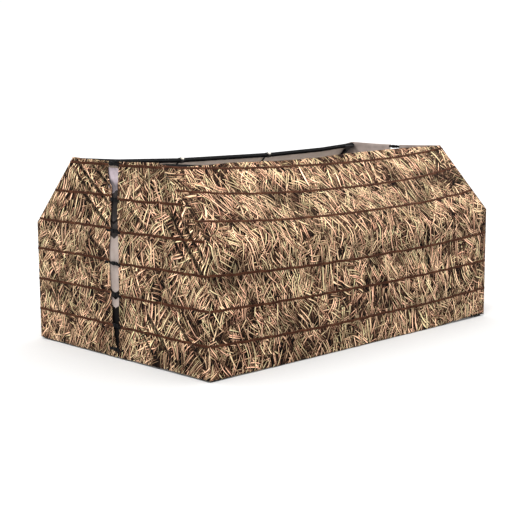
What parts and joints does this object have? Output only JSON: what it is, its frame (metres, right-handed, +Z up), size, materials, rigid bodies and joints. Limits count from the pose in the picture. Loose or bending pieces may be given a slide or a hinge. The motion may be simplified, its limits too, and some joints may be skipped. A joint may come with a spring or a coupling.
{
  "type": "field blind",
  "caption": "Free-standing six-sided field blind: fold-down square-tube frame, grass-pattern covers with stubble straps, open top, buckled slit at each end.",
  "frame": {"origin": "bottom centre of the blind, on the ground under the middle of the feet", "axes": "+Z up, +X along the length, the long side facing -Y is the front; the ends face -X (left) and +X (right)"},
  "size_m": [3.082, 1.923, 1.395],
  "materials": {
    "frame_tube": "satin",
    "steel_hardware": "satin",
    "black_plastic": "satin",
    "foot_rubber": "matte",
    "pale_plastic": "satin",
    "grass_camo_fabric": "matte",
    "brown_webbing": "matte",
    "black_webbing": "matte",
    "grey_lining": "matte"
  },
  "bodies": {
    "base": {"base_rail_front": "frame_tube", "base_rail_rear": "frame_tube", "sill_bars": "frame_tube", "corner_brackets": "steel_hardware", "base_feet": "foot_rubber", "anchor_plates": "steel_hardware", "hinge_brackets": "steel_hardware", "base_hinge_bolts": "steel_hardware", "base_end_caps": "black_plastic", "end_panels_front": "grass_camo_fabric", "end_panels_rear": "grass_camo_fabric", "end_panel_straps": "brown_webbing"},
    "front_side": {"posts_front": "frame_tube", "knee_rail_front": "frame_tube", "knee_brackets_front": "steel_hardware", "knee_bolts_front": "steel_hardware", "wall_cover_front": "grass_camo_fabric", "wall_straps_front": "brown_webbing"},
    "front_flap": {"roof_arms_front": "frame_tube", "top_rail_front": "frame_tube", "rail_fittings_front": "black_plastic", "top_gussets_front": "steel_hardware", "rail_ties_front": "black_webbing", "coupler_caps_front": "pale_plastic", "roof_cover_front": "grass_camo_fabric", "roof_straps_front": "brown_webbing"},
    "rear_side": {"posts_rear": "frame_tube", "knee_rail_rear": "frame_tube", "knee_brackets_rear": "steel_hardware", "knee_bolts_rear": "steel_hardware", "wall_cover_rear": "grass_camo_fabric", "wall_straps_rear": "brown_webbing"},
    "rear_flap": {"roof_arms_rear": "frame_tube", "top_rail_rear": "frame_tube", "rail_fittings_rear": "black_plastic", "top_gussets_rear": "steel_hardware", "rail_ties_rear": "black_webbing", "coupler_caps_rear": "pale_plastic", "roof_cover_rear": "grass_camo_fabric", "roof_straps_rear": "brown_webbing"},
    "left_front_door": {"door_leaf_left_front": "grass_camo_fabric", "door_straps_left_front": "brown_webbing", "placket_left": "grey_lining", "buckle_plugs_left": "black_plastic"},
    "left_rear_door": {"door_leaf_left_rear": "grass_camo_fabric", "door_straps_left_rear": "brown_webbing", "buckle_sockets_left": "black_plastic"},
    "left_front_knob": {"knee_knob_left_front": "black_plastic"},
    "left_rear_knob": {"knee_knob_left_rear": "black_plastic"},
    "right_front_door": {"door_leaf_right_front": "grass_camo_fabric", "door_straps_right_front": "brown_webbing", "placket_right": "grey_lining", "buckle_plugs_right": "black_plastic"},
    "right_rear_door": {"door_leaf_right_rear": "grass_camo_fabric", "door_straps_right_rear": "brown_webbing", "buckle_sockets_right": "black_plastic"},
    "right_front_knob": {"knee_knob_right_front": "black_plastic"},
    "right_rear_knob": {"knee_knob_right_rear": "black_plastic"}
  },
  "joints": [
    {"name": "front_fold", "type": "hinge", "parent": "base", "child": "front_side", "pos_m": [0, -0.936, 0.058], "axis": [-1, 0, 0], "range_deg": [0, 90], "deforming": ["end_panels_front", "door_leaf_left_front", "door_leaf_right_front", "door_straps_left_front", "door_straps_right_front", "buckle_plugs_left", "buckle_plugs_right", "placket_left", "placket_right"]},
    {"name": "front_knee", "type": "hinge", "parent": "front_side", "child": "front_flap", "pos_m": [0, -0.936, 0.87551], "axis": [-1, 0, 0], "range_deg": [-43.19, 0]},
    {"name": "rear_fold", "type": "hinge", "parent": "base", "child": "rear_side", "pos_m": [0, 0.936, 0.11], "axis": [1, 0, 0], "range_deg": [0, 90], "deforming": ["end_panels_rear", "end_panel_straps", "door_leaf_left_rear", "door_leaf_right_rear", "door_straps_left_rear", "door_straps_right_rear"]},
    {"name": "rear_knee", "type": "hinge", "parent": "rear_side", "child": "rear_flap", "pos_m": [0, 0.936, 0.87551], "axis": [1, 0, 0], "range_deg": [-43.19, 0]},
    {"name": "left_front_swing", "type": "hinge", "parent": "base", "child": "left_front_door", "pos_m": [-1.53, -0.482, 0.7], "axis": [0, 0, 1], "range_deg": [0, 105]},
    {"name": "left_rear_swing", "type": "hinge", "parent": "base", "child": "left_rear_door", "pos_m": [-1.53, 0.482, 0.7], "axis": [0, 0, -1], "range_deg": [0, 105]},
    {"name": "right_front_swing", "type": "hinge", "parent": "base", "child": "right_front_door", "pos_m": [1.53, -0.482, 0.7], "axis": [0, 0, -1], "range_deg": [0, 105]},
    {"name": "right_rear_swing", "type": "hinge", "parent": "base", "child": "right_rear_door", "pos_m": [1.53, 0.482, 0.7], "axis": [0, 0, 1], "range_deg": [0, 105]},
    {"name": "left_front_clamp", "type": "hinge", "parent": "front_side", "child": "left_front_knob", "pos_m": [-1.45, -0.936, 0.87551], "axis": [-1, 0, 0], "range_deg": [0, 540]},
    {"name": "left_rear_clamp", "type": "hinge", "parent": "rear_side", "child": "left_rear_knob", "pos_m": [-1.45, 0.936, 0.87551], "axis": [-1, 0, 0], "range_deg": [0, 540]},
    {"name": "right_front_clamp", "type": "hinge", "parent": "front_side", "child": "right_front_knob", "pos_m": [1.45, -0.936, 0.87551], "axis": [1, 0, 0], "range_deg": [0, 540]},
    {"name": "right_rear_clamp", "type": "hinge", "parent": "rear_side", "child": "right_rear_knob", "pos_m": [1.45, 0.936, 0.87551], "axis": [1, 0, 0], "range_deg": [0, 540]}
  ],
  "couplings": [
    {"joint": "front_knee", "follows": "front_fold", "ratio": -0.479},
    {"joint": "rear_knee", "follows": "rear_fold", "ratio": -0.479}
  ]
}
